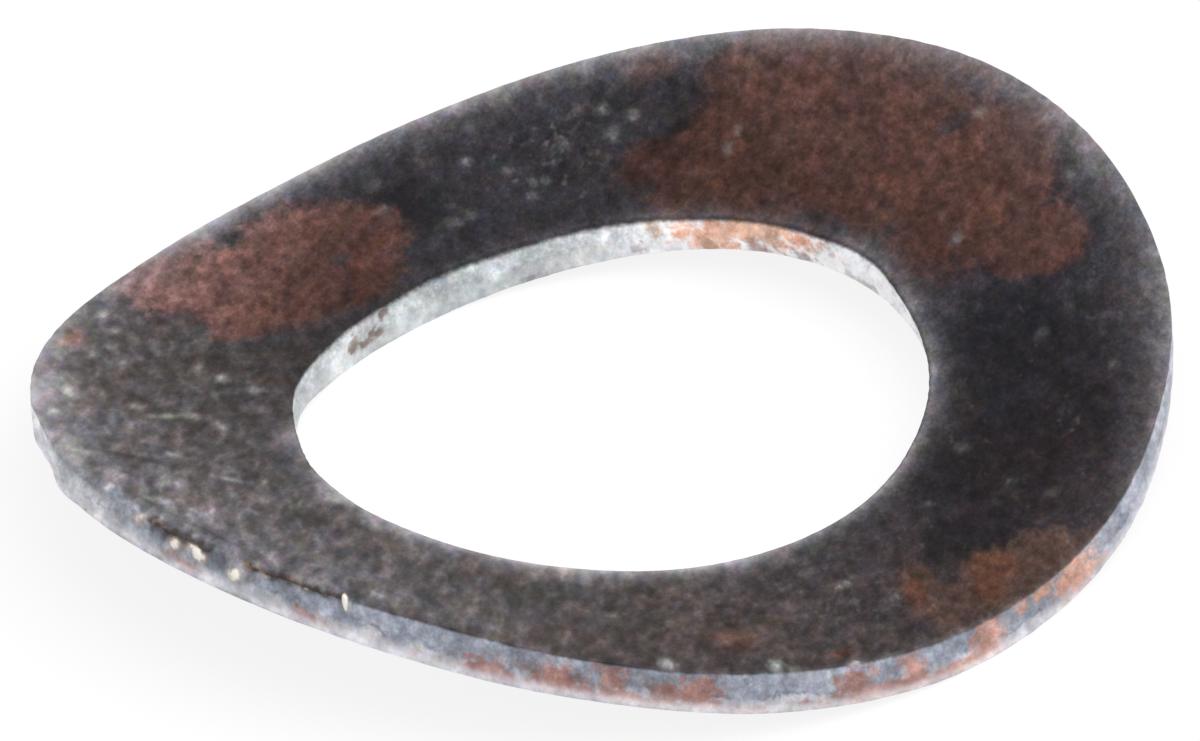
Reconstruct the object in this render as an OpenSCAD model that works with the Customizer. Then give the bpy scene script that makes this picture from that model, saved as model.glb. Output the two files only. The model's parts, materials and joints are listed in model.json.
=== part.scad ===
// Curved spring washer: a flat ring punched from spring strip, then bent about one axis.
// It lies with its hollow side up. X runs across the bend, Y along it and Z up.
// The origin is on the surface that it rests on, below the middle of the bore.

/* [Ring] */
// Outer diameter of the flat ring before it is bent
outer_d = 15; // [12:0.1:20]
// Diameter of the bore
bore_d = 8.5; // [5:0.05:10.5]
// Thickness of the spring strip
thickness = 0.62; // [0.46:0.02:1]

/* [Bend] */
// Radius of the bend at half the thickness
bend_r = 15.5; // [12:0.1:60]
// How far the rim wall leans with the strip: 0 is upright, 1 is square to the strip
rim_lean = 0.4; // [0:0.05:1]

/* [Punched edge] */
// Height of the rounding that punching leaves along the lower outer edge
roll_h = 0.2; // [0.05:0.01:0.2]
// Width of the same rounding, in from the rim
roll_w = 0.08; // [0.02:0.01:0.2]
// Size of the broken corner along the upper outer edge
edge_break = 0.02; // [0.01:0.005:0.05]

/* [Wear] */
// Place of the worn shoulder round the rim, in degrees from the X axis
worn_at = 176; // [0:1:359]
// Angle that the shoulder covers to each side of its middle
worn_span = 40; // [10:1:80]
// Width of the shoulder on the upper face
worn_w = 0.35; // [0.05:0.01:0.5]
// Depth of the shoulder on the rim wall
worn_h = 0.18; // [0.02:0.01:0.2]
// Place of the flat that was knocked into the rim, in degrees from the X axis
flat_at = 147; // [0:1:359]
// Depth of the flat at its middle
flat_depth = 0.06; // [0.01:0.01:0.2]

/* [Hidden] */
// Steps round the rim, round the bore, and round the full circle that the bend is part of
rim_steps = 180;
bore_steps = 180;
bend_steps = 720;
// Steps in the rounding of the lower outer edge, and how much of the quarter turn they cover
roll_steps = 4;
roll_turn = 75;
// How far the cutting bodies reach past the strip
reach = 0.6;

rim_r = outer_d / 2;
half_t = thickness / 2;
// Level of the bend axis above the resting surface
axis_z = bend_r + half_t;

// How far an angle round the rim lies from another, from 0 to 180
function apart(angle, other) = abs((angle - other + 540) % 360 - 180);

// How much of the worn shoulder is there at an angle, from 1 at its middle to 0 at its ends
function shoulder_share(angle) =
    let (off = apart(angle, worn_at) / worn_span)
    off < 1 ? (1 + cos(180 * off)) / 2 : 0;

// Radius of the flat ring at an angle. The flat is a chord of the circle.
function rim_r_at(angle) =
    let (off = apart(angle, flat_at))
    off < 45 ? min(rim_r, (rim_r - flat_depth) / cos(off)) : rim_r;

// A point of the flat ring carried onto the bend, from its places across and along the bend
// and its height above mid thickness. The height leans with the strip by the share given.
function bent(across, along, lift, lean) =
    let (turn = across / bend_r * 180 / PI)
    [
        (bend_r - lean * lift) * sin(turn),
        along,
        axis_z - bend_r * cos(turn) + lift * (lean * cos(turn) + (1 - lean) / cos(turn))
    ];

// Section of the rim at an angle, from top to bottom, as [radius on the flat ring, height].
// The first and last points lie clear of the strip and follow the plain circle.
function rim_section(angle) =
    let (
        edge_r = rim_r_at(angle),
        bevel_w = edge_break + worn_w * shoulder_share(angle),
        bevel_h = edge_break + worn_h * shoulder_share(angle)
    )
    [
        [rim_r, half_t + reach],
        [edge_r - 2 * bevel_w, half_t + bevel_h],
        [edge_r, half_t - bevel_h],
        for (i = [0 : roll_steps])
            let (turn = roll_turn * i / roll_steps)
            [edge_r - roll_w * (1 - cos(turn)), -half_t + roll_h * (1 - sin(turn))],
        [rim_r - roll_w - reach, -half_t - reach / 2]
    ];

// The strip: a plate of even thickness rolled to the bend, wider than the ring
module bent_strip() {
    span = outer_d + 2 * reach;
    intersection() {
        translate([0, span / 2, axis_z])
            rotate([90, 0, 0])
                linear_extrude(height = span)
                    difference() {
                        circle(r = bend_r + half_t, $fn = bend_steps);
                        circle(r = bend_r - half_t, $fn = bend_steps);
                    }
        translate([-span / 2, -span / 2, -reach])
            cube([span, span, axis_z]);
    }
}

// The round outline of the flat ring carried onto the bend, with the rim's own section.
// Each lid is a row of flat strips between points that mirror each other along the bend.
module bent_outline() {
    angles = [for (i = [0 : rim_steps - 1]) 360 * i / rim_steps];
    sections = [for (angle = angles) rim_section(angle)];
    rows = len(sections[0]);
    half = rim_steps / 2;
    points = [
        for (row = [0 : rows - 1])
            for (i = [0 : rim_steps - 1])
                let (p = sections[i][row])
                bent(p[0] * cos(angles[i]), p[0] * sin(angles[i]), p[1], rim_lean)
    ];
    walls = [
        for (row = [0 : rows - 2])
            for (i = [0 : rim_steps - 1])
                let (
                    j = (i + 1) % rim_steps,
                    upper = row * rim_steps,
                    lower = upper + rim_steps
                )
                each [[upper + i, upper + j, lower + j], [upper + i, lower + j, lower + i]]
    ];
    lid = [
        for (i = [0 : half - 1])
            let (back_i = (rim_steps - i) % rim_steps, back_j = rim_steps - i - 1)
            i == 0 ? [0, back_j, 1]
                : i == half - 1 ? [i, back_i, half]
                : [i, back_i, back_j, i + 1]
    ];
    under = [
        for (face = lid)
            [for (k = [len(face) - 1 : -1 : 0]) face[k] + (rows - 1) * rim_steps]
    ];
    polyhedron(points = points, faces = concat(walls, lid, under), convexity = 4);
}

module washer() {
    color("#3f3a39")
        difference() {
            intersection() {
                bent_strip();
                bent_outline();
            }
            translate([0, 0, -reach])
                cylinder(d = bore_d, h = axis_z, $fn = bore_steps);
        }
}

washer();
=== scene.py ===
import json
import math

import bpy
import numpy as np
from mathutils import Matrix, Vector


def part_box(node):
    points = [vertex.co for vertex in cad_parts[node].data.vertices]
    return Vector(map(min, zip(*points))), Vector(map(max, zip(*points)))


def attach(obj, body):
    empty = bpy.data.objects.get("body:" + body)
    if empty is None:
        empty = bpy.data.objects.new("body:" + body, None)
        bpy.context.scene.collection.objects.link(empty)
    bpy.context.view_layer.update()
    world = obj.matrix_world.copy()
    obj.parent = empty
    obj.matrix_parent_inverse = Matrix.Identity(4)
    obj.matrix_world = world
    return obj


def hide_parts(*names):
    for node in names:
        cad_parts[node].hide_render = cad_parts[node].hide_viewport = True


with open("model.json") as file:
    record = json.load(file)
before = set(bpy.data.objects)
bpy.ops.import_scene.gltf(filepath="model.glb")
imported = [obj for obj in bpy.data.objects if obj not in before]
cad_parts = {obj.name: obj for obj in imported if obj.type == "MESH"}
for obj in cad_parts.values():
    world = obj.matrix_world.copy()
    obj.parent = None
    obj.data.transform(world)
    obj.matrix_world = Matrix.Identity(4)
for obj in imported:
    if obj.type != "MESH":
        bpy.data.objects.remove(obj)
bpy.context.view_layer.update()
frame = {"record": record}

# Lengths are in millimetres until a point is handed to Blender, which takes metres
MM = 0.001
washer_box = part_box("washer")

# The flat ring, before it is bent
RIM_R = (washer_box[1].y - washer_box[0].y) / 2 / MM
BORE_R = frame["record"]["mounts"][0]["dims"]["r_mm"]
THICK = 0.62
HALF_T = THICK / 2
# The ring is a touch narrower across the bend, and its bore sits a little off the middle
OVAL = 0.004
BORE_AT = (-0.02, -0.05)

# The bend: its radius, how much tighter it gets towards -Y, and how uneven its two ends are
BEND_R = 15.58
BEND_TAPER = 0.073
BEND_SKEW = 0.0138
RIM_LEAN = 0.2
BORE_LEAN = 1.0

# Edges and wear of the rim
ROLL_H = 0.22
ROLL_W = 0.055
EDGE_BREAK = 0.018
WORN_AT = 178
WORN_SPAN = 38
WORN_W = 0.34
WORN_H = 0.13
FLAT_AT = 147
FLAT_DEPTH = 0.07
# Rounding of the bore's upper edge, which keeps its dark skin
LIP_W = 0.05
LIP_H = 0.045

# Low swellings and hollows of each edge: middle and half length in degrees, and how far out it lies
RIM_TOP_FORM = [
    (317, 16, 0.035), (16, 16, -0.022), (50, 18, 0.02), (82, 16, -0.035), (116, 18, 0.05),
    (138, 10, -0.03), (245, 12, -0.025), (299, 14, -0.02),
]
RIM_LOW_FORM = [
    (152, 28, -0.075), (153, 7, 0.06), (192, 18, 0.05), (228, 16, -0.06), (262, 14, 0.03), (304, 16, -0.03),
]
BORE_TOP_FORM = [
    (352, 16, 0.08), (30, 20, -0.035), (78, 16, 0.045), (112, 14, -0.03), (144, 34, -0.18), (169, 14, -0.045),
    (205, 26, 0.045), (257, 28, -0.035), (313, 16, 0.02),
]
BORE_LOW_FORM = [
    (138, 26, -0.2),
]

# Columns of the mesh round the ring, closer together where the rim is worn
COLUMNS = 720
DENSE = (142, 214)
DENSE_SHARE = 0.35
# Rows of each stretch of the section
TOP_ROWS = 54
SHOULDER_ROWS = 12
WALL_ROWS = 12
ROLL_ROWS = 6
UNDER_ROWS = 28
CORNER_ROWS = 3
LIP_ROWS = 6
BORE_ROWS = 9

# Burrs and flecks near the rim's upper edge: angle, distance below the edge, half length, half height,
# tilt in degrees and how far it stands out
BURRS = [
    (172.7, 0.00, 0.16, 0.070, 30, 0.035),
    (178.3, 0.10, 0.13, 0.085, -15, 0.045),
    (181.6, 0.075, 0.17, 0.095, -20, 0.06),
    (186.8, 0.15, 0.13, 0.10, 20, 0.06),
    (188.9, 0.12, 0.25, 0.016, 36, 0.02),
    (189.0, -0.07, 0.06, 0.025, 10, 0.025),
    (190.6, 0.03, 0.05, 0.028, 10, 0.025),
    (195.3, 0.0, 0.05, 0.04, 0, 0.025),
    (199.9, 0.0, 0.045, 0.15, 12, 0.06),
    (210.4, 0.09, 0.08, 0.030, 58, 0.022),
    (207.6, 0.34, 0.05, 0.03, 0, 0.022),
    (243.0, 0.38, 0.04, 0.03, 0, 0.012),
    (252.2, -0.06, 0.03, 0.05, 0, 0.018),
    (267.0, 0.0, 0.03, 0.06, 0, 0.015),
]
# Height at which a burr has its full colour
BURR_TALL = 0.03
# Grooves along the worn shoulder, painted dark partly with their own brown and partly with painted shade: first and
# last angle, distance inside the edge, half width
GROOVES = [
    (173.8, 183.5, 0.030, 0.135),
    (187.5, 199.5, 0.030, 0.080),
]


# The grain of the surface is drawn out along one direction of the frame, by this factor
GRAIN_WAY = (-0.54, -0.65, 0.53)
GRAIN_STRETCH = 2.9
GRAIN_STRETCH_LEFT = 4.1
GRAIN_KEPT_UNDER = 0.8
# Rust on the upper face: across, along, half width, half length and turn in degrees
RUST_LEFT = [
    (-1.25, 6.55, 1.05, 0.95, 0),
    (0.30, 6.00, 1.15, 1.05, 0),
    (-0.85, 5.35, 1.05, 0.85, 0),
    (0.05, 5.00, 0.90, 0.60, 0),
    (1.05, 5.65, 0.55, 0.70, 0),
    (-1.60, 7.15, 0.70, 0.45, 10),
]
RUST_RIGHT = [
    (4.15, 3.25, 0.60, 0.50, 0),
    (4.40, 2.55, 1.00, 0.85, 0),
    (5.75, 1.90, 1.60, 1.75, 0),
    (6.05, 3.10, 0.75, 0.80, 0),
    (4.70, 1.60, 0.95, 1.10, 0),
    (5.85, 0.20, 1.60, 1.50, 0),
    (5.70, -1.30, 1.38, 1.20, 0),
    (5.50, -2.55, 0.65, 0.90, 0),
    (5.62, -2.95, 0.34, 0.45, 0),
    (7.00, 0.90, 0.62, 1.70, 0),
    (6.85, -1.10, 0.48, 0.80, 0),
]
RUST_LOW = [
    (-0.42, -6.35, 0.27, 0.72, -34),
    (-0.35, -6.95, 0.62, 0.55, 0),
    (0.50, -6.80, 0.50, 0.60, 0),
    (1.10, -6.98, 0.52, 0.48, 0),
    (0.45, -7.35, 1.35, 0.45, 0),
]
# Where that rust is golden
GOLDEN = [
    (0.55, -6.65, 0.38, 0.45, 0),
    (0.20, -7.00, 0.25, 0.50, -40),
    (-0.48, -6.35, 0.15, 0.40, -34),
]
# Faint marks, of which only the strongest middle shows
RUST_FAINT = [
    (5.45, 4.65, 0.85, 0.70, 0),
    (-3.60, 6.35, 0.75, 0.45, 35),
    (-3.20, -5.88, 0.70, 0.45, 0),
    (-2.20, -6.85, 0.50, 0.30, 0),
    (4.60, -0.90, 0.45, 0.80, 0),
    (-1.90, 5.10, 0.70, 0.50, 0),
    (-0.60, -7.25, 0.70, 0.30, 0),
]
FAINTNESS = 0.62
RUST_TOP = RUST_LEFT + RUST_RIGHT + RUST_LOW
RUST_UNDER = [
    (-2.5, -5.2, 1.2, 0.7, 20),
    (-1.6, -5.7, 0.9, 0.5, -15),
    (-3.3, -4.7, 0.7, 0.9, 50),
    (3.9, 4.6, 1.1, 0.6, -40),
    (3.2, 5.4, 0.6, 0.5, 10),
    (4.7, 3.8, 0.5, 0.8, 0),
    (5.8, -1.5, 0.6, 1.1, 0),
    (5.4, -2.5, 0.9, 0.5, 30),
    (6.2, -0.6, 0.5, 0.8, 0),
    (-5.6, 2.6, 0.5, 0.9, 20),
    (-5.2, 3.4, 0.7, 0.4, -30),
]
# Bare slate-grey islands in the rust, and darker places of the skin, in the same terms
SLATE = [
    (7.12, 0.05, 0.20, 0.42, 0),
    (7.20, -0.60, 0.15, 0.30, 0),
    (6.85, -2.30, 0.45, 0.60, 0),
    (0.38, 5.42, 0.22, 0.14, 0),
    (4.45, 0.25, 0.20, 0.60, 0),
    (6.53, -0.16, 0.16, 0.30, 50),
]
DARK = [
    (2.70, -5.10, 2.30, 1.50, 0),
    (3.90, -3.70, 1.40, 1.40, 0),
    (4.75, 3.35, 0.45, 0.30, 0),
    (1.75, 5.60, 0.40, 0.90, 0),
    (0.90, -6.00, 1.10, 0.90, 0),
]
# Where the skin is painted pale along an edge, as painted glow from the white surroundings: angle, half span in
# degrees, share of the pale colour, and width
RIM_PAINTED_GLOW = [
    (0, 40, 0.47, 0.22),
    (26, 28, 0.72, 0.17),
    (45, 30, 0.74, 0.20),
    (62, 24, 0.80, 0.19),
    (80, 20, 0.92, 0.18),
    (92, 18, 0.95, 0.18),
    (108, 20, 0.48, 0.32),
    (122, 18, 0.76, 0.31),
    (136, 16, 1.00, 0.36),
    (150, 14, 0.50, 0.32),
    (345, 30, 0.50, 0.24),
    (318, 30, 0.44, 0.24),
    (300, 24, 0.20, 0.18),
    (250, 80, 0.14, 0.05),
]
BORE_PAINTED_GLOW = [
    (150, 18, 0.55, 0.16),
    (168, 20, 0.82, 0.17),
    (190, 26, 0.85, 0.20),
    (216, 36, 0.92, 0.18),
    (248, 36, 0.75, 0.15),
    (285, 36, 0.50, 0.11),
    (315, 28, 0.42, 0.13),
    (335, 24, 0.30, 0.14),
    (350, 20, 0.24, 0.15),
    (15, 20, 0.15, 0.13),
    (34, 26, 0.12, 0.14),
    (60, 50, 0.08, 0.08),
]
# Where the skin is darker along an edge, in the same terms
RIM_SHADE = [
    (170, 16, 0.36, 0.20),
    (182, 10, 0.60, 0.12),
    (210, 20, 0.64, 0.45),
    (229, 20, 0.65, 0.30),
    (246, 24, 0.60, 0.55),
    (272, 22, 0.20, 0.60),
]
BORE_SHADE = [
    (90, 32, 0.45, 0.50),
    (112, 28, 0.50, 0.80),
    (150, 30, 0.20, 0.60),
]
SPECKLED = [
    (3.70, 4.60, 1.30, 1.00, 0),
    (-5.40, 0.50, 2.60, 5.50, 0),
    (-2.40, -5.90, 3.00, 1.50, 0),
    (-3.40, 4.80, 1.60, 1.60, 0),
]
# Single marks on the upper face: across, along, half length, half width, turn in degrees and strength.
# Most are as long as they are because they look round from the photograph's side.
PALE_MARKS = [
    (-2.79, 6.64, 0.14, 0.065, 50, 0.47),
    (-4.88, 5.03, 0.17, 0.070, 50, 0.68),
    (-5.62, 4.49, 0.17, 0.065, 50, 0.59),
    (-5.19, 4.60, 0.15, 0.070, 50, 0.30),
    (-2.99, 6.23, 0.12, 0.060, 50, 0.26),
    (-2.90, 4.23, 0.14, 0.065, 50, 0.51),
    (-4.33, 3.72, 0.17, 0.090, -28, 0.47),
    (-4.06, 3.53, 0.12, 0.080, 50, 0.38),
    (-2.82, 3.71, 0.10, 0.080, 50, 0.34),
    (-3.95, 3.15, 0.22, 0.065, 69, 0.30),
    (-5.27, 2.64, 0.12, 0.065, 50, 0.47),
    (-5.15, 1.60, 0.17, 0.080, -60, 0.38),
    (-4.43, 4.19, 0.12, 0.065, 50, 0.26),
    (-3.77, 5.77, 0.12, 0.065, 50, 0.21),
    (-3.03, 5.34, 0.12, 0.070, 50, 0.17),
    (-2.95, 4.64, 0.13, 0.065, 50, 0.21),
    (2.84, 5.62, 0.09, 0.065, 50, 0.29),
    (3.01, 4.99, 0.09, 0.065, 50, 0.16),
    (3.03, 4.47, 0.09, 0.065, 50, 0.20),
    (3.14, 4.36, 0.09, 0.065, 50, 0.17),
    (2.84, 4.29, 0.09, 0.065, 50, 0.16),
    (1.84, 4.79, 0.12, 0.090, 50, 0.14),
    (2.08, 4.71, 0.09, 0.065, 50, 0.12),
    (4.51, 4.66, 0.09, 0.065, 50, 0.22),
    (4.64, 4.19, 0.10, 0.070, 50, 0.23),
    (4.23, 4.16, 0.10, 0.070, 50, 0.23),
    (3.77, 4.69, 0.09, 0.065, 50, 0.11),
    (3.40, 6.06, 0.10, 0.070, 50, 0.12),
    (1.77, 6.32, 0.14, 0.100, 50, 0.08),
    (4.03, 6.08, 0.14, 0.120, 50, 0.07),
    (1.49, 5.82, 0.12, 0.080, 50, 0.12),
    (-4.40, -5.80, 0.17, 0.070, 50, 0.85),
    (-3.19, -6.58, 0.15, 0.070, 50, 0.85),
    (-3.06, -6.77, 0.10, 0.075, 50, 0.26),
    (-2.36, -7.21, 0.14, 0.080, 50, 0.45),
    (-3.90, -4.21, 0.13, 0.080, -40, 0.22),
    (-3.40, -4.79, 0.13, 0.060, 50, 0.19),
    (-1.08, -4.93, 0.14, 0.060, 20, 0.17),
    (-0.92, -5.53, 0.08, 0.065, 50, 0.24),
    (4.82, 2.53, 0.09, 0.065, 50, 0.19),
    (5.12, 2.62, 0.09, 0.065, 50, 0.12),
    (5.06, -1.60, 0.09, 0.065, 50, 0.25),
    (6.82, -0.40, 0.09, 0.065, 50, 0.16),
    (7.14, -1.38, 0.09, 0.065, 50, 0.25),
    (6.56, -2.32, 0.09, 0.070, 50, 0.16),
    (4.84, -3.90, 0.12, 0.060, 50, 0.10),
    (4.34, -3.90, 0.08, 0.065, 50, 0.12),
    (4.34, -5.19, 0.11, 0.060, 50, 0.10),
    (2.16, -4.51, 0.11, 0.080, 50, 0.10),
    (2.42, -4.08, 0.08, 0.070, 50, 0.06),
    (2.12, -6.21, 0.09, 0.070, 50, 0.07),
    (1.05, -4.99, 0.08, 0.065, 50, 0.08),
]
RUDDY_MARKS = [
    (-3.56, 6.36, 0.30, 0.160, 50, 0.60),
    (4.27, 2.19, 0.09, 0.070, 50, 0.50),
    (4.90, -0.40, 0.09, 0.090, 50, 0.35),
    (-3.06, -5.64, 0.24, 0.160, -40, 0.45),
    (-2.36, -6.84, 0.11, 0.080, 50, 0.35),
    (7.10, -2.45, 0.11, 0.070, 50, 0.40),
]
DARK_MARKS = [
    (-5.88, 2.76, 0.75, 0.120, -52, 0.60),
    (-6.42, 2.20, 0.30, 0.080, 90, 0.30),
]
# Rust on the rim wall: angle, height from 0 to 1, half length in degrees, half height
RUST_RIM = [
    (179.0, 0.20, 2.6, 0.10),
    (195.5, 0.20, 2.6, 0.12),
    (215.0, 0.26, 3.2, 0.20),
    (222.0, 0.42, 3.6, 0.22),
    (227.3, 0.62, 1.7, 0.32),
    (227.0, 0.14, 15.0, 0.11),
    (233.5, 0.42, 2.6, 0.20),
    (236.0, 0.55, 2.4, 0.28),
    (251.8, 0.52, 2.1, 0.26),
    (258.0, 0.56, 1.5, 0.30),
    (256.0, 0.18, 9.5, 0.15),
    (267.2, 0.55, 2.0, 0.38),
    (264.0, 0.20, 5.0, 0.12),
    (272.0, 0.78, 0.9, 0.12),
    (279.3, 0.62, 3.6, 0.26),
    (275.0, 0.82, 1.5, 0.14),
    (281.0, 0.32, 3.4, 0.20),
    (62.0, 0.90, 18.0, 0.05),
    (95.0, 0.85, 12.0, 0.07),
    (20.0, 0.55, 8.0, 0.28),
    (338.0, 0.30, 5.0, 0.20),
    (120.0, 0.35, 6.0, 0.20),
]
# Rust on the bore wall, in the same terms
RUST_BORE = [
    (20.0, 0.70, 15.0, 0.34),
    (27.5, 0.48, 6.5, 0.40),
    (11.0, 0.74, 8.0, 0.26),
    (215.0, 0.40, 12.0, 0.20),
    (262.0, 0.55, 6.0, 0.22),
    (305.0, 0.35, 7.0, 0.18),
]
DIRT_BORE = [
    (92.6, 0.43, 2.3, 0.10),
    (95.6, 0.34, 1.8, 0.07),
    (98.4, 0.48, 1.9, 0.12),
    (19.5, 0.16, 3.0, 0.15),
    (28.6, 0.16, 1.9, 0.14),
    (9.5, 0.12, 3.6, 0.10),
    (41.0, 0.16, 1.6, 0.12),
    (61.0, 0.08, 1.6, 0.07),
    (354.0, 0.08, 6.0, 0.08),
    (90.5, 0.86, 1.4, 0.13),
]


def smoothstep(x, low, high):
    t = np.clip((x - low) / (high - low), 0, 1)
    return t * t * (3 - 2 * t)


def apart(angle, other):
    """How far two angles in degrees lie from each other, with sign."""
    return (angle - other + 180) % 360 - 180


def waves(angle, seed, low, high, count):
    """A smooth random line round the ring, between about -1 and 1, from waves of the given orders."""
    rng = np.random.default_rng(seed)
    a = np.radians(angle)
    total = np.zeros_like(a)
    for _ in range(count):
        order = rng.integers(low, high)
        total += np.sin(order * a + rng.uniform(0, 2 * np.pi))
    return total / math.sqrt(count / 2) / 1.5


def bells(angle, forms):
    """The sum of smooth swellings round the ring."""
    total = np.zeros_like(angle)
    for at, span, amount in forms:
        off = np.clip(np.abs(apart(angle, at)) / span, 0, 1)
        total += amount * (1 + np.cos(np.pi * off)) / 2
    return total


def column_angles():
    """Angles of the columns, with a larger share of them in the dense stretch."""
    inside = round(COLUMNS * DENSE_SHARE)
    outside = COLUMNS - inside
    first = np.linspace(DENSE[0], DENSE[1], inside, endpoint=False)
    second = np.linspace(DENSE[1], DENSE[0] + 360, outside, endpoint=False)
    return np.concatenate([first, second]) % 360


def solid_noise(x, y, z, seed, size):
    """Smooth noise in space from a few plane waves of about the given size."""
    rng = np.random.default_rng(seed)
    total = np.zeros_like(x)
    count = 14
    for _ in range(count):
        d = rng.normal(size=3)
        d *= 2 * np.pi / size * rng.uniform(0.6, 1.6) / np.linalg.norm(d)
        total += np.sin(d[0] * x + d[1] * y + d[2] * z + rng.uniform(0, 2 * np.pi))
    return total / math.sqrt(count / 2) / 1.5


def bend(s, v, w, lean):
    """Carries points of the flat ring onto the bend: across, along, and height above mid thickness."""
    steps = 16
    u, z = np.zeros_like(s), np.zeros_like(s)
    tight = (1 - BEND_TAPER * v / RIM_R) / BEND_R
    for i in range(steps):
        x = s * (i + 0.5) / steps
        slope = tight * x - BEND_SKEW * (x / RIM_R) ** 2
        u += np.cos(slope) * s / steps
        z += np.sin(slope) * s / steps
    slope = tight * s - BEND_SKEW * (s / RIM_R) ** 2
    u = u - lean * w * np.sin(slope)
    z = z + w * (lean * np.cos(slope) + (1 - lean) / np.cos(slope)) + HALF_T
    return u, v, z


def section(angle):
    """Rows of the ring's section at every column angle: radius, height, lean, and part of the surface."""
    worn = np.clip(1 - np.abs(apart(angle, WORN_AT)) / WORN_SPAN, 0, 1)
    worn = worn * worn * (3 - 2 * worn)
    oval = 1 - OVAL * np.cos(2 * np.radians(angle))
    off = np.radians(np.abs(apart(angle, FLAT_AT)))
    chord = np.where(off < 0.8, (RIM_R - FLAT_DEPTH) / np.cos(np.minimum(off, 0.8)), RIM_R)
    edge = np.minimum(RIM_R, chord) * oval + 0.003 * waves(angle, 5, 30, 160, 16)
    edge_r = edge + bells(angle, RIM_TOP_FORM)
    low_r = edge + bells(angle, RIM_LOW_FORM)
    bevel_w = EDGE_BREAK + WORN_W * worn * (1 + 0.15 * waves(angle, 3, 20, 90, 12))
    bevel_h = EDGE_BREAK + WORN_H * worn * (1 + 0.15 * waves(angle, 9, 20, 90, 12))
    bore = BORE_R + 0.003 * waves(angle, 11, 20, 160, 16)
    bore_r = bore + bells(angle, BORE_TOP_FORM)
    bore_low_r = bore + bells(angle, BORE_LOW_FORM)
    ones = np.ones_like(angle)
    rows = []

    def add(radius, height, lean, part):
        rows.append((radius * ones, height * ones, lean * ones, part))

    # Upper face, from the bore to the shoulder, closer together near both ends
    for i in range(TOP_ROWS):
        p = (i + 0.5) / TOP_ROWS
        p = p - 0.10 * math.sin(2 * math.pi * p)
        inner, outer = bore_r + LIP_W, edge_r - bevel_w
        add(inner + (outer - inner) * p, HALF_T, BORE_LEAN + (RIM_LEAN - BORE_LEAN) * p, "top")
    # Worn shoulder, which rounds over to the wall
    for i in range(SHOULDER_ROWS):
        q = math.radians(90 * i / (SHOULDER_ROWS - 1))
        add(edge_r - bevel_w * (1 - math.sin(q)), HALF_T - bevel_h * (1 - math.cos(q)), RIM_LEAN, "shoulder")
    # Rim wall
    top_w, low_w = HALF_T - bevel_h, -HALF_T + ROLL_H
    for i in range(1, WALL_ROWS + 1):
        p = i / (WALL_ROWS + 1)
        add(edge_r + (low_r - edge_r) * p, top_w + (low_w - top_w) * p, RIM_LEAN, "wall")
    # Rounding of the lower edge
    for i in range(ROLL_ROWS):
        q = math.radians(90 * i / (ROLL_ROWS - 1))
        add(low_r - ROLL_W * (1 - math.cos(q)), -HALF_T + ROLL_H * (1 - math.sin(q)), RIM_LEAN, "wall")
    # Underside, back to the bore
    for i in range(1, UNDER_ROWS + 1):
        p = i / (UNDER_ROWS + 1)
        p = p - 0.08 * math.sin(2 * math.pi * p)
        outer, inner = low_r - ROLL_W, bore_low_r + EDGE_BREAK
        add(outer + (inner - outer) * p, -HALF_T, RIM_LEAN + (BORE_LEAN - RIM_LEAN) * p, "under")
    # Bore: lower corner, wall, and the rounded upper edge
    for i in range(CORNER_ROWS):
        q = math.radians(90 * i / (CORNER_ROWS - 1))
        r = bore_low_r + EDGE_BREAK * (1 - math.sin(q))
        add(r, -HALF_T + EDGE_BREAK * (1 - math.cos(q)), BORE_LEAN, "bore")
    for i in range(1, BORE_ROWS + 1):
        p = i / (BORE_ROWS + 1)
        height = -HALF_T + EDGE_BREAK + (THICK - EDGE_BREAK - LIP_H) * p
        add(bore_low_r + (bore_r - bore_low_r) * p, height, BORE_LEAN, "bore")
    for i in range(LIP_ROWS):
        q = math.radians(90 * i / (LIP_ROWS - 1))
        add(bore_r + LIP_W * (1 - math.cos(q)), HALF_T - LIP_H * (1 - math.sin(q)), BORE_LEAN, "lip")
    radius, height, lean = (np.array([row[k] for row in rows]) for k in range(3))
    return radius, height, lean, [row[3] for row in rows], worn


def skin_distance(radius, height, part):
    """Distance along the section from the nearest border of the dark skin, negative on bare walls."""
    step = np.hypot(np.diff(radius, axis=0, append=radius[:1]), np.diff(height, axis=0, append=height[:1]))
    path = np.cumsum(step, axis=0) - step
    total = step.sum(0)
    dark = np.array([p not in ("wall", "bore") for p in part])
    result = np.full_like(radius, 1e9)
    for i in range(len(part)):
        if dark[i] != dark[i - 1]:
            border = (path[i] + path[i - 1] + (total if i == 0 else 0)) / 2
            gap = np.abs(path - border)
            result = np.minimum(result, np.minimum(gap, np.abs(total - gap)))
    return np.where(dark[:, None], result, -result)


def below_rim(radius, height, part):
    """Distance down the rim wall from its upper edge, negative on the upper face."""
    step = np.hypot(np.diff(radius, axis=0, prepend=radius[:1]), np.diff(height, axis=0, prepend=height[:1]))
    path = np.cumsum(step, axis=0)
    return path - path[part.index("wall")]


def burr_field(angle, below):
    """How far the burrs raise the rim at each point, in millimetres."""
    rise = np.zeros_like(below)
    for at, depth, along, up, tilt, tall in BURRS:
        x = np.radians(apart(angle, at)) * RIM_R
        y = depth - below
        c, s = math.cos(math.radians(tilt)), math.sin(math.radians(tilt))
        d2 = ((x * c + y * s) / along) ** 2 + ((y * c - x * s) / up) ** 2
        rise += tall * np.exp(-d2 * 1.4)
    return rise


def groove_field(angle, below):
    """How deep the grooves cut into the worn shoulder at each point, from 0 to 1."""
    depth = np.zeros_like(below)
    for first, last, inside, half in GROOVES:
        ends = smoothstep(angle, first - 0.6, first + 0.6) * (1 - smoothstep(angle, last - 0.6, last + 0.6))
        level = -inside + 0.025 * waves(angle, 21, 60, 200, 10)
        half = half * (1 + 0.35 * waves(angle, 22, 60, 240, 10))
        depth = np.maximum(depth, ends * np.exp(-((below - level) / half) ** 2))
    return depth


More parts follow.
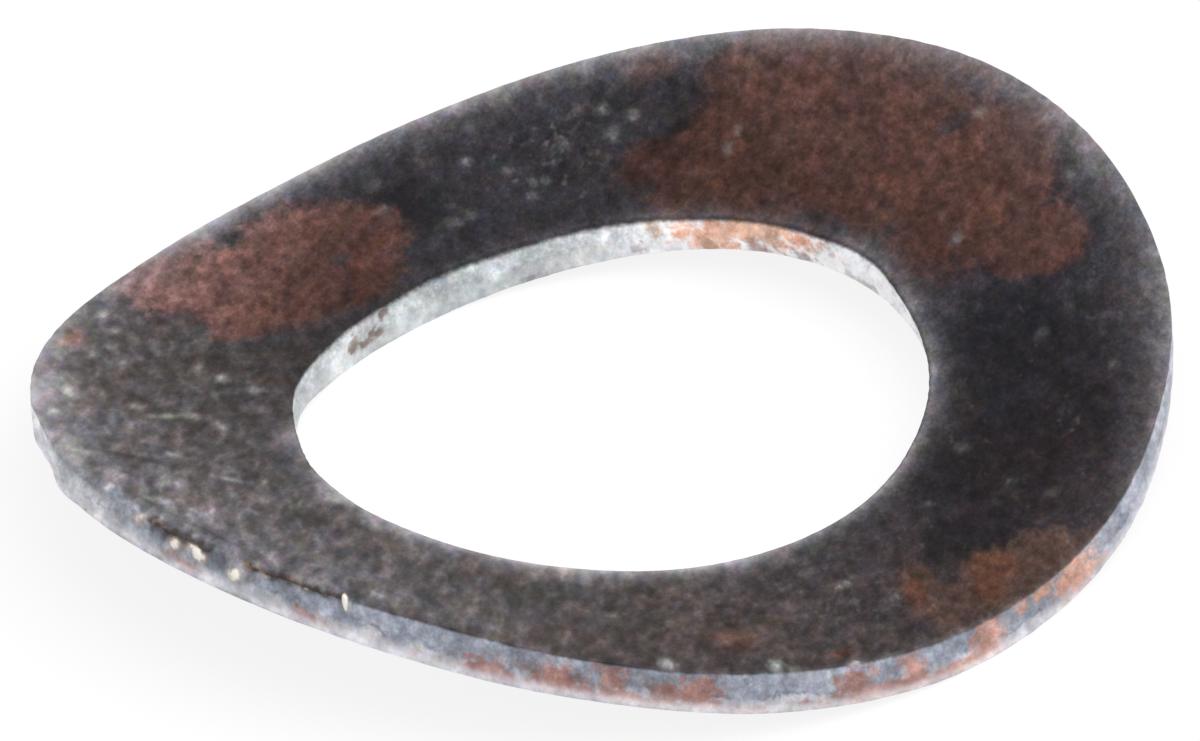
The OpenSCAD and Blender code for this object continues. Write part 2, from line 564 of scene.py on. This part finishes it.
def patches(s, v, marks):
    """Field of elliptic patches on a face: 1 at a middle, 0 at its border and less outside."""
    field = np.full_like(s, -1.0)
    for x, y, half_x, half_y, turn in marks:
        c, d = math.cos(math.radians(turn)), math.sin(math.radians(turn))
        dx, dy = s - x, v - y
        field = np.maximum(field, 1 - np.hypot((dx * c + dy * d) / half_x, (dy * c - dx * d) / half_y))
    return field


def dabs(s, v, marks):
    """The strongest of some soft single marks on a face."""
    field = np.zeros_like(s)
    for x, y, along, wide, turn, share in marks:
        c, d = math.cos(math.radians(turn)), math.sin(math.radians(turn))
        dx, dy = s - x, v - y
        off = ((dx * c + dy * d) / along) ** 2 + ((dy * c - dx * d) / wide) ** 2
        field = np.maximum(field, share * np.exp(-off))
    return field


def wall_patches(angle, height, marks):
    """The same field on a wall, from the angle and the height."""
    field = np.full_like(height, -1.0)
    for at, share, along, up in marks:
        field = np.maximum(field, 1 - np.hypot(apart(angle, at) / along, (height - (share - 0.5) * THICK) / up))
    return field


def edge_bands(angle, distance, bands):
    """The strongest of some bands that run along an edge and fade away from it."""
    field = np.zeros_like(distance)
    for at, span, share, width in bands:
        field = np.maximum(field, bells(angle, [(at, span, share)]) * np.exp(-distance / width))
    return field


def share_of(part, *names):
    """1 for the rows of the named parts of the surface and 0 for the others, as a column."""
    return np.array([p in names for p in part], dtype=float)[:, None]


def build_ring():
    """The bent ring as one closed mesh of quads, with the attributes its material reads."""
    angle = column_angles()
    radius, height, lean, part, worn = section(angle)
    skin = skin_distance(radius, height, part)
    grid_angle = np.broadcast_to(angle, radius.shape)
    a = np.radians(grid_angle)
    rim_side = radius > (RIM_R + BORE_R) / 2
    on_rim = share_of(part, "top", "shoulder", "wall") * rim_side * smoothstep(radius, RIM_R - 1.1, RIM_R - 0.8)
    s, v = radius * np.cos(a), radius * np.sin(a)
    # Unevenness of the faces, then of the walls
    lump = 0.004 * solid_noise(s, v, height, 31, 1.6) + 0.002 * solid_noise(s, v, height, 32, 0.45)
    wall = 0.004 * solid_noise(s, v, height, 33, 0.5) + 0.002 * solid_noise(s, v, height, 34, 0.16)
    height = height + lump * share_of(part, "top")
    below = below_rim(radius, height, part)
    groove = groove_field(grid_angle, below) * on_rim
    burr = burr_field(grid_angle, below) * on_rim
    radius = radius + wall * share_of(part, "wall") + 0.5 * wall * share_of(part, "bore")
    steep = share_of(part, "shoulder", "wall")
    radius = radius - 0.04 * groove * steep + burr * steep
    height = height - 0.03 * groove * share_of(part, "top", "shoulder") + 0.7 * burr * share_of(part, "top", "shoulder")
    centre = smoothstep(radius, RIM_R - 0.8, BORE_R + 0.4)
    s = radius * np.cos(a) + BORE_AT[0] * centre
    v = radius * np.sin(a) + BORE_AT[1] * centre
    x, y, z = bend(s, v, height, lean)
    rows, cols = radius.shape
    points = np.stack([x, y, z], -1).reshape(-1, 3) * MM
    ids = np.arange(rows * cols).reshape(rows, cols)[:, np.argsort(angle)]
    right, down = np.roll(ids, -1, 1), np.roll(ids, -1, 0)
    both = np.roll(down, -1, 1)
    quads = np.stack([ids, down, both, right], -1).reshape(-1, 4)
    mesh = bpy.data.meshes.new("washer_ring")
    mesh.from_pydata(points.tolist(), [], quads.tolist())
    mesh.validate()
    put(mesh, "flat", "FLOAT_VECTOR", np.stack([s, v, height], -1))
    put(mesh, "skin", "FLOAT", skin)
    put(mesh, "groove", "FLOAT", groove)
    put(mesh, "burr", "FLOAT", burr / BURR_TALL)
    put(mesh, "worn", "FLOAT", bells(grid_angle, [(170, 36, 1.0)]) * smoothstep(radius, RIM_R - 1.0, RIM_R - 0.4) * on_rim)
    top = share_of(part, "top", "shoulder", "lip") > 0
    rust = np.maximum(patches(s, v, RUST_TOP), patches(s, v, RUST_FAINT) - FAINTNESS)
    rust = np.where(top, rust, patches(s, v, RUST_UNDER))
    rust = np.where(share_of(part, "wall") > 0, wall_patches(grid_angle, height, RUST_RIM), rust)
    rust = np.where(share_of(part, "bore") > 0, wall_patches(grid_angle, height, RUST_BORE), rust)
    put(mesh, "rust", "FLOAT", rust)
    put(mesh, "golden", "FLOAT", np.where(top, patches(s, v, GOLDEN), -1))
    put(mesh, "slate", "FLOAT", np.where(top, patches(s, v, SLATE), -1))
    put(mesh, "dark", "FLOAT", np.where(top, patches(s, v, DARK), -1))
    way = np.array(GRAIN_WAY) / np.linalg.norm(GRAIN_WAY)
    place = np.stack([x, y, z], -1)
    left = smoothstep(-s, 3.0, 7.0)
    kept = (1 - left) / GRAIN_STRETCH + left / GRAIN_STRETCH_LEFT
    kept = np.where(share_of(part, "under") > 0, GRAIN_KEPT_UNDER, kept)
    put(mesh, "grain", "FLOAT_VECTOR", place - ((1 - kept) * (place @ way))[..., None] * way)
    to_rim, to_bore = np.abs(radius - radius[TOP_ROWS]), np.abs(radius - radius[0])
    # Painted glow: how much paler the skin is painted along its edges, as if they caught the white surroundings
    painted_glow = np.maximum(edge_bands(grid_angle, to_rim, RIM_PAINTED_GLOW), edge_bands(grid_angle, to_bore, BORE_PAINTED_GLOW))
    put(mesh, "painted_glow", "FLOAT", np.where(top, painted_glow, 0))
    shade = np.maximum(edge_bands(grid_angle, to_rim, RIM_SHADE), edge_bands(grid_angle, to_bore, BORE_SHADE))
    shade = np.maximum(shade, dabs(s, v, DARK_MARKS))
    put(mesh, "shade", "FLOAT", np.where(top, shade, 0))
    put(mesh, "pale", "FLOAT", np.where(top, dabs(s, v, PALE_MARKS), 0))
    put(mesh, "ruddy", "FLOAT", np.where(top, dabs(s, v, RUDDY_MARKS), 0))
    put(mesh, "specks", "FLOAT", np.where(top, patches(s, v, SPECKLED), 0))
    put(mesh, "dirt", "FLOAT", np.where(share_of(part, "bore") > 0, wall_patches(grid_angle, height, DIRT_BORE), -1))
    mesh.polygons.foreach_set("use_smooth", np.ones(len(mesh.polygons), dtype=bool))
    mesh.update()
    ring = bpy.data.objects.new("washer_ring", mesh)
    bpy.context.scene.collection.objects.link(ring)
    return ring


def put(mesh, name, kind, values):
    """Writes a value for each point of a mesh as a named attribute."""
    made = mesh.attributes.new(name, kind, "POINT")
    made.data.foreach_set("vector" if kind == "FLOAT_VECTOR" else "value", np.asarray(values, "f4").ravel())


class Nodes:
    """Short names for the shader nodes that the materials are made of."""

    def __init__(self, name):
        self.material = bpy.data.materials.new(name)
        self.material.use_nodes = True
        self.tree = self.material.node_tree
        self.tree.nodes.clear()

    def add(self, kind, inputs=(), **settings):
        node = self.tree.nodes.new("ShaderNode" + kind)
        for key, value in settings.items():
            setattr(node, key, value)
        for key, value in dict(inputs).items():
            self.set(node.inputs[key], value)
        return node

    def set(self, socket, value):
        if isinstance(value, bpy.types.NodeSocket):
            self.tree.links.new(value, socket)
        elif value is not None:
            if socket.type == "RGBA" and len(value) == 3:
                value = (*value, 1)
            socket.default_value = value

    def math(self, operation, a, b=0.0, c=0.0, clamp=False):
        node = self.add("Math", {0: a, 1: b, 2: c}, operation=operation, use_clamp=clamp)
        return node.outputs[0]

    def mix(self, factor, a, b, blend="MIX"):
        node = self.add("Mix", {0: factor, 6: a, 7: b}, data_type="RGBA", blend_type=blend)
        return node.outputs[2]

    def blend(self, factor, a, b):
        """A plain number between a and b."""
        return self.add("Mix", {0: factor, 2: a, 3: b}, data_type="FLOAT").outputs[0]

    def smooth(self, value, low, high):
        node = self.add("MapRange", {0: value, 1: low, 2: high}, interpolation_type="SMOOTHSTEP")
        return node.outputs[0]

    def noise(self, vector, scale, detail=3.0, roughness=0.55, offset=0.0):
        if offset:
            vector = self.add("VectorMath", {0: vector, 1: (offset, offset * 0.7, offset * 1.3)}).outputs[0]
        node = self.add("TexNoise", {"Vector": vector, "Scale": scale, "Detail": detail, "Roughness": roughness})
        return node.outputs["Fac"]

    def cells(self, vector, scale, randomness=1.0):
        node = self.add("TexVoronoi", {"Vector": vector, "Scale": scale, "Randomness": randomness})
        return node.outputs

    def attribute(self, name, output="Fac"):
        return self.add("Attribute", attribute_name=name).outputs[output]


# How much lighter the grain makes the colour for each whole step of its field
GRAIN_GAIN = 14.0


def mottle(n, vector, scale, detail, roughness, offset=0.0):
    """Three independent noises around 0, as separate numbers."""
    if offset:
        vector = n.add("VectorMath", {0: vector, 1: (offset, offset * 0.7, offset * 1.3)}).outputs[0]
    inputs = {"Vector": vector, "Scale": scale, "Detail": detail, "Roughness": roughness}
    colour = n.add("TexNoise", inputs).outputs["Color"]
    parts = n.add("SeparateXYZ", {0: colour}).outputs
    return [n.math("SUBTRACT", parts[i], 0.5) for i in range(3)]


def grained(n, colour, light, pink, blue):
    """The colour with its lightness and hue changed by three fields that are around 0."""
    gain = n.math("POWER", GRAIN_GAIN, light)
    red = n.math("MULTIPLY", gain, n.math("MULTIPLY_ADD", pink, 0.9, 1.0))
    green = n.math("MULTIPLY", gain, n.math("MULTIPLY_ADD", blue, 0.1, 1.0))
    blue = n.math("MULTIPLY", gain, n.math("MULTIPLY_ADD", blue, -0.9, 1.0))
    return n.mix(1.0, colour, n.add("CombineXYZ", {0: red, 1: green, 2: blue}).outputs[0], "MULTIPLY")


def dust_and_sheen_shares(n, flat):
    """How dusty the skin is, together with its painted sheen, as two shares: over the worn half, and close to the worn
    end alone.
    """
    across = n.math("MULTIPLY", n.add("SeparateXYZ", {0: flat}).outputs["X"], -1.0)
    drift = n.math("SUBTRACT", n.noise(flat, 0.5, 2.0, 0.5, 4.0), 0.5)
    across = n.math("MULTIPLY_ADD", drift, 2.0, across)
    return n.smooth(across, -2.0, 4.5), n.smooth(across, 4.4, 8.6)


def oxide_skin(n, flat, dust_and_sheen, end, grain):
    """Colour of the dark oxide on the faces, dusty and paler towards the worn end, where part of the paling is painted
    sheen.
    """
    # Dust with painted sheen: the oxide is painted paler over the worn half and near the worn end
    base = n.mix(dust_and_sheen, (0.030, 0.0275, 0.0335), (0.070, 0.061, 0.062))
    base = n.mix(end, base, (0.222, 0.206, 0.226))
    dark = n.smooth(n.math("MULTIPLY_ADD", grain[3], 1.2, n.attribute("dark")), -0.1, 0.6)
    base = n.mix(n.math("MULTIPLY", dark, 0.85), base, (0.012, 0.011, 0.014))
    # Warm and olive places along the lower left, and a browner stretch along the low side
    warm = n.smooth(n.noise(flat, 0.9, 3.0, 0.6, 13.0), 0.46, 0.62)
    base = n.mix(n.math("MULTIPLY", warm, 0.5), base, n.mix(1.0, base, (1.12, 0.93, 0.78), "MULTIPLY"))
    low = n.smooth(n.add("SeparateXYZ", {0: flat}).outputs["Y"], -3.6, -5.8)
    return n.mix(low, base, n.mix(1.0, base, (1.06, 0.93, 0.90), "MULTIPLY"))


def pale_specks(n, flat, weave, end, colour):
    """Pale soft specks in two sizes, thicker in some places."""
    place = n.smooth(n.attribute("specks"), -0.2, 0.5)
    small = n.math("SUBTRACT", n.noise(weave, 6.5, 1.2, 0.6, 23.0), n.blend(place, 0.66, 0.58))
    large = n.math("SUBTRACT", n.noise(weave, 3.0, 2.0, 0.6, 41.0), n.blend(place, 0.70, 0.60))
    amount = n.smooth(n.math("MAXIMUM", small, large), -0.02, 0.2)
    kind = n.noise(flat, 4.0, 1.0, 0.5, 29.0)
    tint = n.mix(n.smooth(kind, 0.42, 0.58), (0.125, 0.135, 0.130), (0.165, 0.140, 0.135))
    tint = n.mix(end, tint, (0.40, 0.39, 0.40))
    return n.mix(n.math("MULTIPLY", amount, n.blend(place, 0.25, 0.5)), colour, tint)


def face_rust_colour(n, flat, grain):
    """Brown rust of the faces, pinker and paler towards the worn end."""
    brown = n.mix(n.smooth(grain[4], -0.12, 0.12), (0.072, 0.037, 0.032), (0.094, 0.043, 0.034))
    orange = n.smooth(n.noise(flat, 1.1, 3.0, 0.6, 47.0), 0.56, 0.68)
    brown = n.mix(n.math("MULTIPLY", orange, 0.4), brown, (0.122, 0.054, 0.034))
    place = n.add("SeparateXYZ", {0: flat}).outputs
    gold = n.smooth(n.math("MULTIPLY_ADD", grain[3], 1.0, n.attribute("golden")), -0.15, 0.55)
    golden = n.mix(gold, (0.085, 0.051, 0.042), (0.124, 0.056, 0.037))
    brown = n.mix(n.smooth(place["Y"], -5.0, -5.8), brown, golden)
    # Thin over the inner half of the right-hand patch and thick at its outer end
    gain = n.math("MULTIPLY_ADD", n.smooth(place["X"], 0.0, 1.5), 0.25, 0.95)
    gain = n.math("MULTIPLY_ADD", n.smooth(place["X"], 2.6, 3.8), -0.45, gain)
    gain = n.math("MULTIPLY_ADD", n.smooth(place["X"], 4.2, 6.0), 0.45, gain)
    brown = n.mix(1.0, brown, n.add("CombineXYZ", {0: gain, 1: gain, 2: gain}).outputs[0], "MULTIPLY")
    pink = n.mix(n.smooth(grain[4], -0.12, 0.12), (0.186, 0.094, 0.082), (0.240, 0.120, 0.105))
    away = n.math("MULTIPLY_ADD", place["X"], 0.5, n.math("MULTIPLY", place["Y"], -0.87))
    return n.mix(n.smooth(away, -4.2, -6.9), brown, pink)


def wall_rust_colour(n, flat, height, kind):
    """Rust of the walls: red-brown high up and pink along the lower edge, more orange to the right, and painted paler
    there as painted light on the side that faces the light.
    """
    across = n.add("SeparateXYZ", {0: flat}).outputs["X"]
    right = n.smooth(n.math("MULTIPLY_ADD", kind, 2.0, across), -2.2, 2.0)
    # Painted light: both rust colours are painted paler to the right, the side that faces the light
    upper = n.mix(right, (0.330, 0.180, 0.155), (0.630, 0.360, 0.285))
    lower = n.mix(right, (0.500, 0.330, 0.315), (0.640, 0.420, 0.360))
    return n.mix(n.smooth(n.math("MULTIPLY_ADD", kind, 0.3, height), -0.05, -0.20), upper, lower)


def cut_steel(n, flat, height, kind):
    """Colour of the rim wall: a smooth blue-grey band above and a paler torn band below, with painted light that makes
    it paler towards the right and a painted shadow line where the smooth band tears.
    """
    place = n.add("SeparateXYZ", {0: flat}).outputs
    across, along = place["X"], place["Y"]
    upright = n.add("VectorMath", {0: flat, 1: (1.0, 1.0, 0.6)}, operation="MULTIPLY").outputs[0]
    streak = n.math("SUBTRACT", n.noise(upright, 3.5, 3.0, 0.65, 53.0), 0.5)
    steel = n.mix(n.smooth(kind, -0.15, 0.15), (0.215, 0.232, 0.282), (0.330, 0.350, 0.410))
    # Painted light: the wall is painted paler towards the right, the side that faces the light
    steel = n.mix(n.smooth(across, 0.0, 3.5), steel, (0.420, 0.436, 0.515))
    pale = n.mix(n.smooth(kind, -0.12, 0.12), (0.420, 0.450, 0.490), (0.620, 0.605, 0.660))
    pale_part = n.math("MULTIPLY", n.smooth(across, -4.6, -5.6), n.smooth(along, 0.4, 2.6))
    pale = n.mix(n.smooth(along, 2.7, 4.0), pale, (0.780, 0.780, 0.820))
    steel = n.mix(pale_part, steel, pale)
    above = n.math("MULTIPLY_ADD", streak, 0.45, n.math("ADD", height, 0.03))
    torn = n.smooth(above, 0.05, -0.13)
    rough = n.mix(n.smooth(across, 0.0, 3.0), (0.600, 0.580, 0.615), (0.520, 0.520, 0.575))
    steel = n.mix(n.math("MULTIPLY", torn, 0.8), steel, rough)
    # Painted shadow: a dark line where the smooth band tears, in places, standing in for the shade under its ledge
    line = n.smooth(n.math("ABSOLUTE", above), 0.05, 0.0)
    line = n.math("MULTIPLY", line, n.smooth(kind, -0.02, 0.12))
    steel = n.mix(n.math("MULTIPLY", line, 0.55), steel, (0.110, 0.115, 0.140))
    return n.mix(n.math("MULTIPLY", n.smooth(streak, 0.05, 0.25), 0.45), steel, (0.600, 0.640, 0.690))


def bore_steel(n, flat, kind):
    """Colour of the bore wall, cleaner and paler than the rim's, with painted reflected light that makes it nearly
    white at the right.
    """
    across = n.add("SeparateXYZ", {0: flat}).outputs["X"]
    clean = n.mix(n.smooth(kind, -0.15, 0.15), (0.480, 0.505, 0.515), (0.620, 0.640, 0.660))
    # Painted reflection: towards the right the bore is painted nearly white, as if it mirrored the white surroundings
    return n.mix(n.smooth(across, 2.2, 3.6), clean, (0.970, 0.970, 1.000))


def washer_material():
    """Rusted spring steel: dark oxide on the faces, bare steel on the walls, and rust over both."""
    n = Nodes("rusted_spring_steel")
    flat = n.attribute("flat", "Vector")
    weave = n.attribute("grain", "Vector")
    parts = n.add("SeparateXYZ", {0: flat}).outputs
    height = parts["Z"]
    radius = n.add("VectorMath", {0: n.add("CombineXYZ", {0: parts["X"], 1: parts["Y"]}).outputs[0]},
                   operation="LENGTH").outputs["Value"]
    # Grain: lightness, pink to green, yellow to blue; then two broader fields
    grain = mottle(n, weave, 3.2, 3.6, 1.0) + mottle(n, weave, 1.7, 4.0, 0.65, 61.0)
    blot = mottle(n, weave, 5.0, 1.0, 0.6, 33.0)
    crumbs = n.math("SUBTRACT", n.noise(weave, 6.0, 3.0, 0.7, 67.0), 0.5)
    dust_and_sheen, end = dust_and_sheen_shares(n, flat)

    oxide = pale_specks(n, flat, weave, end, oxide_skin(n, flat, dust_and_sheen, end, grain))
    # Bare walls
    in_bore = n.smooth(radius, (BORE_R + RIM_R) / 2, BORE_R + 0.3)
    steel = n.mix(in_bore, cut_steel(n, flat, height, grain[4]), bore_steel(n, flat, grain[4]))

    # Where the skin ends and the bare wall starts, and how worn the skin is there
    fade = n.math("MULTIPLY_ADD", n.attribute("worn"), 0.20, n.blend(in_bore, 0.03, 0.055))
    skin = n.math("MULTIPLY_ADD", crumbs, n.math("MULTIPLY", fade, 1.5), n.attribute("skin"))
    skinned = n.smooth(n.math("DIVIDE", skin, fade), -1.0, 1.0)
    worn = n.math("MULTIPLY_ADD", grain[4], 1.6, n.attribute("worn"))
    oxide = n.mix(n.math("MULTIPLY", n.smooth(worn, 0.15, 0.95), 0.55), oxide, (0.215, 0.208, 0.225))

    # Rust
    patch = n.math("MULTIPLY_ADD", grain[3], 1.1, n.attribute("rust"))
    patch = n.math("MULTIPLY_ADD", crumbs, 0.6, patch)
    bare = n.smooth(n.math("MULTIPLY_ADD", grain[5], 1.2, n.attribute("slate")), -0.15, 0.5)
    face_rust = n.math("MULTIPLY", n.smooth(patch, -0.20, 0.30), n.blend(bare, 0.95, 0.32))
    face_rust = n.math("MULTIPLY", face_rust, n.smooth(grain[5], -0.45, -0.05))
    speck = n.math("SUBTRACT", n.noise(flat, 7.0, 2.0, 0.6, 73.0), 0.5)
    wall_rust = n.math("MULTIPLY_ADD", speck, 2.6, n.attribute("rust"))
    wall_rust = n.math("MULTIPLY", n.smooth(wall_rust, -0.40, 0.65), 0.95)
    rusty = n.blend(skinned, wall_rust, face_rust)

    skin_colour = n.mix(face_rust, oxide, face_rust_colour(n, flat, grain))
    # Painted glow: the skin is painted paler along its edges, where they would catch the white surroundings
    painted_glow = n.math("MULTIPLY_ADD", grain[3], 0.3, 1.0)
    painted_glow = n.math("MULTIPLY", painted_glow, n.attribute("painted_glow"), clamp=True)
    skin_colour = n.mix(painted_glow, skin_colour, (0.50, 0.47, 0.50))
    skin_colour = n.mix(n.attribute("shade"), skin_colour, (0.012, 0.010, 0.010))
    skin_colour = n.mix(n.attribute("ruddy"), skin_colour, (0.300, 0.135, 0.083))
    skin_colour = n.mix(n.attribute("pale"), skin_colour, (0.620, 0.600, 0.580))
    bore_rust = n.mix(n.smooth(grain[4], -0.12, 0.12), (0.820, 0.430, 0.300), (0.960, 0.600, 0.450))
    wall_colours = n.mix(in_bore, wall_rust_colour(n, flat, height, grain[4]), bore_rust)
    wall_colour = n.mix(wall_rust, steel, wall_colours)
    # Dirt in the bore
    dirt = n.smooth(n.math("MULTIPLY_ADD", speck, 3.0, n.attribute("dirt")), -0.30, 0.65)
    thin = n.blend(n.smooth(parts["X"], 1.0, 3.0), 0.80, 0.42)
    wall_colour = n.mix(n.math("MULTIPLY", dirt, thin), wall_colour, (0.19, 0.125, 0.10))
    # Pale lower edge of the rim wall
    left = n.smooth(parts["X"], -3.0, -5.0)
    lowest = n.math("MULTIPLY", n.smooth(height, -0.13, -0.26), n.blend(in_bore, n.blend(left, 0.5, 0.75), 0.0))
    wall_colour = n.mix(lowest, wall_colour, n.mix(left, (0.820, 0.790, 0.820), (0.800, 0.785, 0.850)))
    colour = n.mix(skinned, wall_colour, skin_colour)

    # Grain over everything, stronger on the skin than on the rust and the walls
    depth = n.blend(face_rust, n.blend(dust_and_sheen, 1.25, 0.9), 0.85)
    plain = n.math("MULTIPLY_ADD", grain[3], 0.8, n.math("MULTIPLY", grain[0], 0.7))
    plain = n.math("MULTIPLY", plain, n.blend(n.smooth(height, 0.02, -0.14), 1.0, 0.5))
    light = n.blend(skinned, plain, n.math("MULTIPLY", grain[0], depth))
    light = n.math("MULTIPLY_ADD", crumbs, n.math("MULTIPLY", skinned, n.blend(face_rust, 0.25, 0.6)), light)
    light = n.math("MULTIPLY_ADD", blot[0], n.blend(skinned, 0.3, n.blend(dust_and_sheen, 0.35, 1.0)), light)
    broad = n.math("MULTIPLY", skinned, n.blend(face_rust, n.blend(dust_and_sheen, 0.15, 0.48), 0.0))
    light = n.math("MULTIPLY_ADD", grain[3], broad, light)
    # The painted glow along the edges also flattens the grain
    light = n.math("MULTIPLY", light, n.blend(painted_glow, 1.0, 0.25))
    hue = n.blend(skinned, 0.4, n.blend(face_rust, 1.0, 0.7))
    pink = n.math("MULTIPLY", n.math("MULTIPLY_ADD", blot[1], 0.3, grain[1]), hue)
    blue = n.math("MULTIPLY", n.math("MULTIPLY_ADD", blot[2], 0.3, grain[2]), hue)
    colour = grained(n, colour, light, pink, blue)

    # Grooves, painted dark partly with their own brown and partly with painted shade, golden in places, and burrs
    groove = n.math("MULTIPLY", n.attribute("groove"), n.math("MULTIPLY_ADD", speck, 1.6, 1.0))
    groove = n.smooth(groove, 0.05, 1.05)
    golden = n.mix(n.smooth(blot[0], 0.04, 0.18), (0.050, 0.037, 0.030), (0.290, 0.175, 0.095))
    colour = n.mix(n.math("MULTIPLY", groove, 0.85), colour, golden)
    burr = n.math("MULTIPLY", n.attribute("burr"), n.math("MULTIPLY_ADD", speck, 3.0, 1.0))
    burr_colour = n.mix(n.smooth(burr, 0.35, 1.60), (0.520, 0.400, 0.300), (0.940, 0.900, 0.840))
    colour = n.mix(n.math("MULTIPLY", n.smooth(burr, 0.02, 1.10), 0.95), colour, burr_colour)

    clear = n.math("MULTIPLY", n.math("SUBTRACT", 1.0, skinned), n.math("SUBTRACT", 1.0, rusty))
    metal = n.math("MULTIPLY", clear, 0.4)
    rough = n.blend(rusty, n.blend(skinned, 0.42, 0.55), 0.85)

    # The bump reads few nodes, because the renderer works its whole input out three times
    bump = n.add("Bump", {
        "Height": n.noise(flat, 9.0, 3.0, 0.7), "Strength": 0.7, "Distance": 0.02 * MM,
    }).outputs[0]

    shader = n.add("BsdfPrincipled", {
        "Base Color": colour, "Metallic": metal, "Roughness": rough, "Specular IOR Level": 0.05, "Normal": bump,
    })
    out = n.add("OutputMaterial")
    n.tree.links.new(shader.outputs[0], out.inputs[0])
    return n.material


def floor_material():
    """White floor that keeps a faint shadow. Part of its white is its own, for the camera and for reflections."""
    n = Nodes("white_floor")
    path = n.add("LightPath").outputs
    seen = n.math("MAXIMUM", path["Is Camera Ray"], path["Is Glossy Ray"])
    seen = n.math("MAXIMUM", seen, path["Is Transmission Ray"])
    paper = n.add("BsdfDiffuse", {"Color": (0.9, 0.9, 0.9)})
    glow = n.add("Emission", {"Color": (1, 1, 1), "Strength": 1.03})
    both = n.add("MixShader", {0: n.math("MULTIPLY", seen, 0.85)})
    n.tree.links.new(paper.outputs[0], both.inputs[1])
    n.tree.links.new(glow.outputs[0], both.inputs[2])
    out = n.add("OutputMaterial")
    n.tree.links.new(both.outputs[0], out.inputs[0])
    return n.material


def make_floor():
    half = 1.5
    mesh = bpy.data.meshes.new("floor")
    mesh.from_pydata([(-half, -half, 0), (half, -half, 0), (half, half, 0), (-half, half, 0)], [], [(0, 1, 2, 3)])
    floor = bpy.data.objects.new("floor", mesh)
    bpy.context.scene.collection.objects.link(floor)
    mesh.materials.append(floor_material())


# The photograph's view: turn round the part, height above the floor and tilt of the picture
VIEW_TURN = 39.8
VIEW_RISE = 32.12
VIEW_TILT = 6.5
# Distance in outer radii, size of a radius in the picture, and where mid thickness at the bore's axis falls
VIEW_FAR = 50
RADIUS_PX = 579.2
AXIS_PX = (607.1, 430.9)
PICTURE = (1200, 741)
SENSOR = 36


def view_axes():
    """The picture's right and up and the way to the camera, as directions of the frame."""
    turn, rise, tilt = (math.radians(x) for x in (VIEW_TURN, VIEW_RISE, VIEW_TILT))
    right = Vector((math.cos(turn), -math.sin(turn), 0))
    up = Vector((math.sin(turn) * math.sin(rise), math.cos(turn) * math.sin(rise), math.cos(rise)))
    across = right * math.cos(tilt) - up * math.sin(tilt)
    upwards = right * math.sin(tilt) + up * math.cos(tilt)
    return across, upwards, across.cross(upwards)


def make_camera():
    across, upwards, back = view_axes()
    data = bpy.data.cameras.new("camera")
    camera = bpy.data.objects.new("camera", data)
    bpy.context.scene.collection.objects.link(camera)
    radius = RIM_R * MM
    data.sensor_width = SENSOR
    data.lens = RADIUS_PX * VIEW_FAR * SENSOR / PICTURE[0]
    aim = Vector((0, 0, HALF_T * MM))
    aim -= across * ((AXIS_PX[0] - PICTURE[0] / 2) / RADIUS_PX * radius)
    aim += upwards * ((AXIS_PX[1] - PICTURE[1] / 2) / RADIUS_PX * radius)
    place = aim + back * (VIEW_FAR * radius)
    data.clip_start = radius
    data.clip_end = radius * 400
    camera.matrix_world = Matrix((
        (across.x, upwards.x, back.x, place.x),
        (across.y, upwards.y, back.y, place.y),
        (across.z, upwards.z, back.z, place.z),
        (0, 0, 0, 1),
    ))
    bpy.context.scene.camera = camera


def make_light(name, way, far, size, power):
    """A square lamp far out along a direction of the picture: right, up and towards the camera."""
    across, upwards, back = view_axes()
    data = bpy.data.lights.new(name, "AREA")
    data.size = size
    data.energy = power
    lamp = bpy.data.objects.new(name, data)
    bpy.context.scene.collection.objects.link(lamp)
    flat_back = Vector((back.x, back.y, 0)).normalized()
    flat_right = Vector((across.x, across.y, 0)).normalized()
    spot = (flat_right * way[0] + flat_back * way[1] + Vector((0, 0, way[2]))).normalized()
    lamp.location = spot * far
    lamp.rotation_mode = "QUATERNION"
    lamp.rotation_quaternion = spot.to_track_quat("Z", "Y")


def make_world():
    """Soft even light. The camera and reflections see white."""
    world = bpy.data.worlds.new("world")
    bpy.context.scene.world = world
    world.use_nodes = True
    tree = world.node_tree
    tree.nodes.clear()
    path = tree.nodes.new("ShaderNodeLightPath")
    plain = tree.nodes.new("ShaderNodeBackground")
    plain.inputs["Color"].default_value = (0.97, 0.985, 1, 1)
    plain.inputs["Strength"].default_value = 0.52
    white = tree.nodes.new("ShaderNodeBackground")
    white.inputs["Color"].default_value = (1, 1, 1, 1)
    white.inputs["Strength"].default_value = 1.0
    mix = tree.nodes.new("ShaderNodeMixShader")
    out = tree.nodes.new("ShaderNodeOutputWorld")
    first = tree.nodes.new("ShaderNodeMath")
    first.operation = "MAXIMUM"
    tree.links.new(path.outputs["Is Camera Ray"], first.inputs[0])
    tree.links.new(path.outputs["Is Glossy Ray"], first.inputs[1])
    seen = tree.nodes.new("ShaderNodeMath")
    seen.operation = "MAXIMUM"
    tree.links.new(first.outputs[0], seen.inputs[0])
    tree.links.new(path.outputs["Is Transmission Ray"], seen.inputs[1])
    tree.links.new(seen.outputs[0], mix.inputs[0])
    tree.links.new(plain.outputs[0], mix.inputs[1])
    tree.links.new(white.outputs[0], mix.inputs[2])
    tree.links.new(mix.outputs[0], out.inputs[0])


make_camera()
ring = build_ring()
ring.data.materials.append(washer_material())
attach(ring, "root")
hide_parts("washer")
make_floor()
make_world()
make_light("key", (0.5, 0.45, 0.9), 0.3, 0.25, 0.75)
bpy.context.scene.view_settings.view_transform = "Standard"
